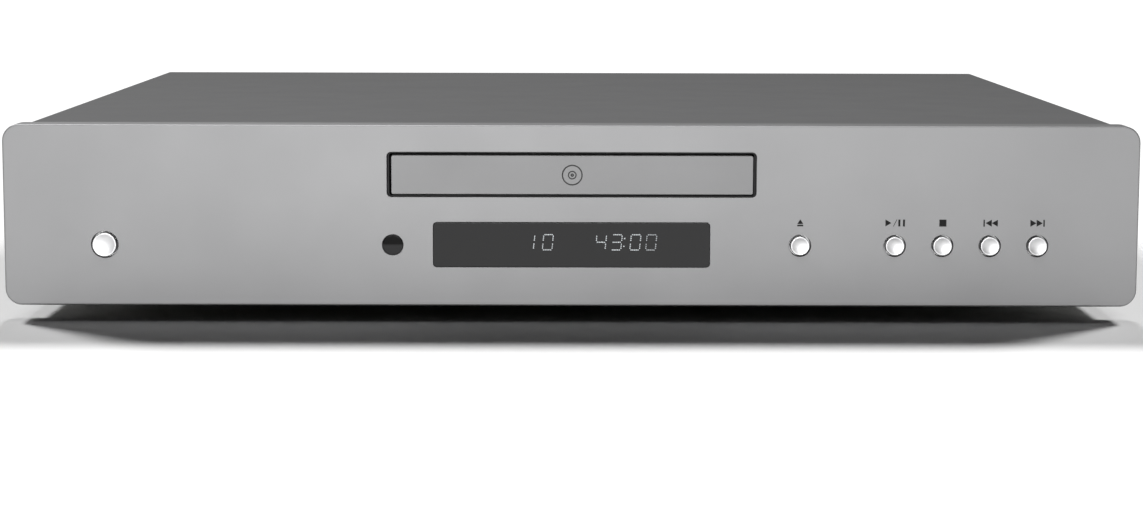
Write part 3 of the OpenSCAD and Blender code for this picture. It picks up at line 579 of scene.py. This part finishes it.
def ir_finish_painted_reflection(height):
    """Dark filter plastic with a painted reflection: the lower half is painted lighter for the reflected
    bright floor, the upper half darker for the reflected floor shadow.
    """
    made = Finish("ir_filter_painted_reflection", (0.03, 0.03, 0.031), 0.12, specular_ior_level=0.15)
    split = made.node("ShaderNodeSeparateXYZ")
    made.link(made.coordinates(), split.inputs["Vector"])
    shade = made.node("ShaderNodeMapRange")
    shade.inputs["From Min"].default_value = height - 0.0003
    shade.inputs["From Max"].default_value = height + 0.0005
    made.link(split.outputs["Z"], shade.inputs["Value"])
    # Painted reflection: the base colour is lighter below the window's middle and darker above it.
    painted_reflection_tone = made.ramp(shade.outputs["Result"], (0.034, 0.034, 0.035), (0.003, 0.003, 0.003), 0.0, 1.0)
    made.link(painted_reflection_tone, made.surface.inputs["Base Color"])
    return made.wear(60, 0.04).grain(200, 0.002, 0.1).material


def thin_print(name, outlines, depth, body, finish, slot_name, rings=(), thickness=0.03):
    """Flat printed outlines and rings that stand a hair proud of a surface."""
    shell = Shell()
    for points in outlines:
        front, back = shell.wall(lambda inset: points, depth - thickness, depth + 0.02)
        shell.cap(front)
        shell.cap(back)
    for outer, inner in rings:
        shell.plate(outer, depth - thickness, depth + 0.02, [inner], 0, 0, 0)
    shell.piece(name, body, finish, slot_name)


def make_icons():
    """The usual signs above the transport buttons, placed from each button's middle."""
    z = row_z + 8.8
    half = 1.33

    def bar(x0, x1, top=z + half):
        return [(x0, z - half), (x1, z - half), (x1, top), (x0, top)]

    def triangle(base, tip):
        return [(base, z - half), (base, z + half), (tip, z)]

    eject, play, stop, previous, following = (middle(name).x for name in transport)
    signs = {
        "eject_sign": [
            bar(eject - 1.15, eject + 1.15, z - 0.75),
            [(eject - 1.15, z - 0.45), (eject + 1.15, z - 0.45), (eject, z + half)],
        ],
        "play_sign": [
            triangle(play - 3.7, play - 1.45), bar(play + 1.2, play + 1.95), bar(play + 2.95, play + 3.7),
            [(play - 0.8, z - half), (play - 0.55, z - half),
             (play + 0.75, z + half), (play + 0.5, z + half)],
        ],
        "stop_sign": [bar(stop - 1.3, stop + 1.4)],
        "previous_sign": [
            bar(previous - 2.57, previous - 2.05), triangle(previous + 0.58, previous - 1.75),
            triangle(previous + 2.88, previous + 0.58),
        ],
        "next_sign": [
            bar(following + 2.12, following + 2.64), triangle(following - 2.8, following - 0.45),
            triangle(following - 0.45, following + 1.9),
        ],
    }
    for name, outlines in signs.items():
        thin_print(name, outlines, face_y, "root", ink, "black_plastic")


def make_disc_sign():
    """A plain pictogram of a disc on the tray door: its rim, its clear hub and its hole."""
    spot = middle("tray_door")
    rings = [(3.95, 3.45), (1.65, 1.2), (0.65, 0.15)]
    edges = [[circle_edge(spot.x, spot.z, radius) for radius in ring] for ring in rings]
    thin_print("disc_sign", [], low("tray_door").y, "tray", door_ink, "black_plastic", edges)


def digit_dots(left, segments):
    """Dots of a slightly slanted digit, whose left stroke passes `left` at half height."""
    width, slant, mid = 3.65, 0.1, window["z"] + 1.08
    rows = {"f": (0, 1), "b": (width, 1), "e": (0, -1), "c": (width, -1)}
    bars = {"a": 2.87, "g": 0.0, "d": -2.95}
    spots = []
    for segment in segments:
        if segment in rows:
            u, side = rows[segment]
            spots += [(u, side * (0.78 + 0.74 * i), 0.4, 0.5) for i in range(3)]
        else:
            spots += [(0.5 + 0.66 * i, bars[segment], 0.52, 0.42) for i in range(5)]
    return [(left + u + slant * v, mid + v, w, h) for u, v, w, h in spots]


def make_digits():
    """The dotted digits of the display, a track number and a time."""
    segments = {"0": "abcdef", "1": "bc", "3": "abcdg", "4": "bcfg"}
    layout = [("1", -17.85, dots), ("0", -10.8, dots), ("4", 9.35, dots), ("3", 15.3, dots),
              ("0", 22.4, dots), ("0", 28.4, faint_dots)]
    depth = low("display_window").y
    for number, (digit, left, finish) in enumerate(layout):
        spots = digit_dots(left, segments[digit])
        outlines = [round_rect(x, z, w, h, 0.15, 3) for x, z, w, h in spots]
        thin_print(f"digit_{number}", outlines, depth, "root", finish, "display")
    places = ((20.15, 2.5), (19.85, -0.5))
    colon = [round_rect(x, window["z"] + up, 0.45, 0.5, 0.15, 3) for x, up in places]
    thin_print("colon", colon, depth, "root", dots, "display")


# ---- Case ----


def cover_profile(inset):
    """Section of the folded cover, drawn in X and Z, set in all round."""
    floor = low("top_cover").z
    bend = 3.0
    outer = cover_half - inset
    top = cover_top - inset
    inner = cover_half - sheet + inset
    under = cover_top - sheet + inset
    r_out, r_in = bend - inset, bend - sheet + inset
    points = [(outer, floor + inset)]
    points += arc(outer - r_out, top - r_out, r_out, 0, 90, 8)
    points += arc(r_out - outer, top - r_out, r_out, 90, 180, 8)
    points += [(-outer, floor + inset), (-inner, floor + inset)]
    points += arc(r_in - inner, under - r_in, r_in, 180, 90, 8)
    points += arc(inner - r_in, under - r_in, r_in, 90, 0, 8)
    return points + [(inner, floor + inset)]


def make_cover():
    """The folded steel cover, with its lip over the rear panel."""
    start, end = low("top_cover").y, high("top_cover").y
    shell = Shell()
    front, back = shell.wall(cover_profile, start, end, 0.25, 0.25)
    shell.cap(front)
    shell.cap(back)
    lip_top = cover_top - sheet + 0.1
    lip_w, lip_corner = 400, 2
    lip = rect_edge(0, (cover_lip_low + lip_top) / 2, lip_w, lip_top - cover_lip_low, lip_corner)
    shell.plate(lip, end - sheet, end, front_round=0.1, back_round=0.25)
    shell.piece("cover_shell", "root", FINISH["cover_paint"], "cover_paint", ["top_cover"])


def make_rear():
    """The rear panel, with ventilation slots and cut-outs for the sockets, the inlet and the switch."""
    spot, size = middle("rear_panel"), high("rear_panel") - low("rear_panel")
    vents, vent_pitch, vent_w, vent_h, vent_z = 12, 12, 3, 28, 42
    first_vent = (vent_w - (vents - 1) * vent_pitch) / 2
    holes = []
    for i in range(vents):
        holes.append(rect_edge(first_vent + vent_pitch * i, vent_z, vent_w, vent_h, 1.45))
    inlet, switch = middle("mains_inlet"), middle("rocker_housing")
    inlet_w, inlet_h, switch_w, switch_h, socket_hole = 27.5, 20.5, 13.3, 19.5, 4.45
    holes.append(rect_edge(inlet.x, inlet.z, inlet_w, inlet_h, 2))
    holes.append(rect_edge(switch.x, switch.z, switch_w, switch_h, 0.5))
    holes += [circle_edge(x, z, socket_hole, 48) for x, z in socket_spots]
    shell = Shell()
    shell.plate(rect_edge(spot.x, spot.z, size.x, size.z, 0.6), rear_y - sheet, rear_y, holes)
    shell.piece("rear_plate", "root", FINISH["cover_paint"], "cover_paint", ["rear_panel"])


def make_socket_blocks():
    """The black blocks of the phono sockets, inside the rear panel. The left one is the upper."""
    blocks = Shell()
    half, inner_y = 7, low("output_sockets").y
    for x, z in socket_spots:
        stacked = (x, z) == left_socket
        floor = z - 9 if stacked else low("output_sockets").z
        top = z + 8 if stacked else z + 8.9
        blocks.box((x - half, floor, inner_y), (x + half, top, rear_y - sheet - 0.2), 0.3)
    blocks.piece("socket_blocks", "root", FINISH["black_plastic"], "black_plastic")


def make_socket_barrels():
    """The plated barrels of the phono sockets, open at both ends."""
    tip, base = high("output_sockets").y, rear_y - 1.4
    bore, barrel, shoulder = 3.2, 4.15, 4.4
    profile = [(bore, rear_y + 1), (bore, tip - 0.4), (3.5, tip), (3.85, tip), (barrel, tip - 0.3),
               (barrel, rear_y + 0.1), (shoulder, rear_y + 0.1), (shoulder, base), (bore, base)]
    barrels = Shell()
    for spot in socket_spots:
        barrels.turned(fillet(profile, 0.12), spot, 64, closed=True)
    barrels.piece("socket_barrels", "root", FINISH["gold_plate"], "gold_plate", ["output_sockets"], 30)


def make_socket_inserts():
    """The coloured insulators round the centre contacts."""
    tip, base = high("output_sockets").y, rear_y - 1.4
    outer, contact = 3.19, 1.7
    profile = [(outer, base), (outer, tip - 1.2), (2.9, tip - 0.9), (contact, tip - 0.9), (contact, base)]
    inserts = [
        ("left_insert", left_socket, (0.75, 0.74, 0.7)),
        ("right_insert", right_socket, (0.5, 0.012, 0.012)),
        ("digital_insert", digital_socket, (0.7, 0.2, 0.01)),
    ]
    for name, spot, colour in inserts:
        insert = Shell()
        insert.turned(profile, spot, 48, closed=True)
        insert.piece(name, "root", plastic(name, colour, 0.35, 0.005, 0.03), "white_plastic")


def make_feet():
    """Moulded feet, each with a recess for its rubber pad and a seat for its screw."""
    bore, seat, seat_z, recess, recess_z = 1.7, 6, 5, 18.2, 3.4
    for name in feet:
        spot, bottom, top = middle(name), low(name).z, high(name).z
        r = high(name).x - spot.x
        outline = [(bore, seat_z), (bore, top), (r - 1, top), (r, top - 1), (r - 1.6, bottom + 0.6),
                   (r - 2.3, bottom), (recess, bottom), (recess, recess_z), (seat, recess_z),
                   (seat, seat_z), (bore, seat_z)]
        profile = fillet(outline, 0.35)
        shell = Shell(PLAN)
        shell.turned(profile[:-1], (spot.x, spot.y), 96, closed=True)
        shell.piece(name + "_moulding", "root", FINISH["foot_plastic"], "foot_plastic", [name], 30)


def make_foot_pads():
    """The rubber rings under the feet."""
    hole, radius, top = 7, 18, high("foot_pads").z
    outline = [(hole, top), (hole, 0.5), (hole + 0.5, 0), (12, 0), (radius - 0.6, 0), (radius, 0.6),
               (radius, top), (hole, top)]
    profile = fillet(outline, 0.2)
    pads = Shell(PLAN)
    for name in feet:
        spot = middle(name)
        pads.turned(profile[:-1], (spot.x, spot.y), 96, closed=True)
    pads.piece("rubber_pads", "root", FINISH["rubber"], "rubber", ["foot_pads"], 30)


def cross(size, arm):
    """Outline of a cross recess, from half its length and half the width of its arms."""
    quarter = [(size, arm), (arm, arm), (arm, size)]
    points = []
    for turn in range(4):
        c, n = round(math.cos(math.pi / 2 * turn)), round(math.sin(math.pi / 2 * turn))
        points += [(u * c - v * n, u * n + v * c) for u, v in quarter]
    return points


def add_screw(shell, place, length):
    """A pan-head screw with a cross recess: depth 0 is the face under the head."""
    shell.place = place
    head, shank_r, head_h = 2.8, 1.4, 1.8
    outline = [(shank_r, 0), (head - 0.15, 0), (head, 0.15), (head, 0.9), (2.6, 1.35), (2.1, 1.7),
               (1.75, head_h)]
    rim = [shell.ring(circle(0, 0, r, 32), depth) for r, depth in outline]
    shell.bridge(*rim)
    mouth = shell.ring(cross(1.25, 0.28), head_h)
    floor = shell.ring(cross(1.0, 0.2), 0.7)
    shell.cap(rim[-1], [mouth])
    shell.bridge(mouth, floor)
    shell.cap(floor)
    point = [(shank_r, length - 1), (0.4, length)]
    shank = [shell.ring(circle(0, 0, r, 32), -depth) for r, depth in point]
    shell.bridge(rim[0], *shank)
    shell.cap(shank[-1])


def make_case_screws():
    """Black screws of the cover, of the rear panel and of the feet."""
    shell = Shell()
    side_z, lip_z, rear_z, foot_z = 16, 69.5, 15, 5
    side_length, rear_length = 8, 7
    for side in (-1, 1):
        for y in (-95, 95):
            place = facing((side, 0, 0), (0, 1, 0), (side * cover_half, y, side_z))
            add_screw(shell, place, side_length)
    for x in (-150, 0, 150):
        add_screw(shell, facing((0, 1, 0), (1, 0, 0), (x, high("top_cover").y, lip_z)), rear_length)
    for x in (-190, 190):
        add_screw(shell, facing((0, 1, 0), (1, 0, 0), (x, rear_y, rear_z)), rear_length)
    for x in (-165, 165):
        for y in (-88, 100):
            add_screw(shell, facing((0, 0, -1), (1, 0, 0), (x, y, foot_z)), side_length)
    shell.piece("case_screw_set", "root", FINISH["black_screw"], "black_screw", ["case_screws"])


# ---- Stage, light and camera ----


def make_stage():
    """A plain pale floor."""
    half = 1.2
    data = bpy.data.meshes.new("floor")
    corners = [(-half, -half, 0), (half, -half, 0), (half, half, 0), (-half, half, 0)]
    data.from_pydata(corners, [], [(0, 1, 2, 3)])
    floor = bpy.data.objects.new("floor", data)
    scene.collection.objects.link(floor)
    finish = Finish("floor", (0.76, 0.76, 0.76), 0.9, specular_ior_level=0.2)
    data.materials.append(finish.mottle(3, 0.01).material)


def aimed(name, data, place, aim):
    """Adds a light at a place and turns it towards a point."""
    light = bpy.data.objects.new(name, data)
    light.location = place
    light.rotation_euler = (Vector(aim) - Vector(place)).to_track_quat("-Z", "Y").to_euler()
    scene.collection.objects.link(light)
    return light


def floor_linking(name, state):
    """A collection that lets a light shine only on the floor, or on all but the floor."""
    linked = bpy.data.collections.new(name)
    linked.objects.link(bpy.data.objects["floor"])
    linked.collection_objects[0].light_linking.link_state = state
    return linked


def add_softbox(name, place, aim, size, power, linked):
    """A rectangular soft light, aimed at a point."""
    data = bpy.data.lights.new(name, "AREA")
    data.shape = "RECTANGLE"
    data.size, data.size_y = size
    data.energy = power
    aimed(name, data, place, aim).light_linking.receiver_collection = linked


def add_overhead(name, azimuth, elevation, softness, power, linked):
    """Even light from one direction, with the soft shadow of a wide source."""
    data = bpy.data.lights.new(name, "SUN")
    data.angle = math.radians(softness)
    data.energy = power
    turn, rise = math.radians(azimuth), math.radians(elevation)
    place = (math.sin(turn) * math.cos(rise), math.cos(turn) * math.cos(rise), math.sin(rise))
    aimed(name, data, place, (0, 0, 0)).light_linking.receiver_collection = linked


def make_lights():
    """Three even lights on the floor alone, and softboxes all round the player that skip the floor."""
    middle_point = (0, -0.12, 0.04)
    floor_only = floor_linking("floor_only", "INCLUDE")
    player_only = floor_linking("player_only", "EXCLUDE")
    add_overhead("overhead_middle", 0, 55, 12, 1.0, floor_only)
    add_overhead("overhead_left", -50, 43, 12, 2.8, floor_only)
    add_overhead("overhead_right", 50, 43, 12, 2.8, floor_only)
    add_softbox("top_left", (-0.6, 0.3, 1.2), middle_point, (0.6, 0.8), 7, player_only)
    add_softbox("top_front", (-0.15, -0.45, 1.3), middle_point, (1.2, 0.5), 14, player_only)
    add_softbox("top_behind", (0, 1.6, 1.1), middle_point, (2.2, 0.8), 2, player_only)
    add_softbox("front_wall", (0, -2.4, 0.7), middle_point, (3.0, 1.4), 7, player_only)
    add_softbox("front_low", (-0.12, -1.9, 0.2), middle_point, (0.7, 0.3), 13, player_only)
    add_softbox("left", (-1.7, 0.1, 0.6), middle_point, (1.0, 0.8), 3, player_only)
    add_softbox("right", (1.7, 0.1, 0.6), middle_point, (1.0, 0.8), 3, player_only)
    add_softbox("behind", (0, 2.4, 0.5), middle_point, (2.4, 0.8), 1.5, player_only)


def make_world():
    """Surroundings that the camera sees as white, and that light the scene very little."""
    world = bpy.data.worlds.new("studio")
    world.use_nodes = True
    tree = world.node_tree
    seen = tree.nodes["Background"]
    seen.inputs["Color"].default_value = (1, 1, 1, 1)
    seen.inputs["Strength"].default_value = 1.1
    felt = tree.nodes.new("ShaderNodeBackground")
    felt.inputs["Color"].default_value = (1, 1, 1, 1)
    felt.inputs["Strength"].default_value = 0.01
    path = tree.nodes.new("ShaderNodeLightPath")
    mix = tree.nodes.new("ShaderNodeMixShader")
    tree.links.new(path.outputs["Is Camera Ray"], mix.inputs["Fac"])
    tree.links.new(felt.outputs["Background"], mix.inputs[1])
    tree.links.new(seen.outputs["Background"], mix.inputs[2])
    tree.links.new(mix.outputs["Shader"], tree.nodes["World Output"].inputs["Surface"])
    scene.world = world
    scene.view_settings.view_transform = "Standard"


def make_camera():
    """A camera a little above the player, which looks slightly down at its front.

    Its shift frames the player without turning the camera further.
    """
    yaw, pitch, roll = (math.radians(a) for a in (0.208, -5.739, 0.140))
    level, up = Vector((math.sin(yaw), math.cos(yaw), 0)), Vector((0, 0, 1))
    right = Vector((math.cos(yaw), -math.sin(yaw), 0))
    ahead = level * math.cos(pitch) + up * math.sin(pitch)
    top = up * math.cos(pitch) - level * math.sin(pitch)
    leaning_right = right * math.cos(roll) + top * math.sin(roll)
    leaning_top = top * math.cos(roll) - right * math.sin(roll)
    data = bpy.data.cameras.new("camera")
    data.lens = 66.67
    data.sensor_width = 36
    data.shift_y = -0.10
    camera = bpy.data.objects.new("camera", data)
    turned = Matrix((leaning_right, leaning_top, -ahead)).transposed().to_4x4()
    camera.matrix_world = Matrix.Translation((-0.003, -0.9463, 0.1485)) @ turned
    scene.collection.objects.link(camera)
    scene.camera = camera


make_camera()
dress_frame()
make_front_plate()
for button in buttons:
    make_button(button)
make_standby_light()
make_door()
make_windows()
make_icons()
make_disc_sign()
make_digits()
make_cover()
make_rear()
make_socket_blocks()
make_socket_barrels()
make_socket_inserts()
make_feet()
make_foot_pads()
make_case_screws()
make_stage()
make_lights()
make_world()
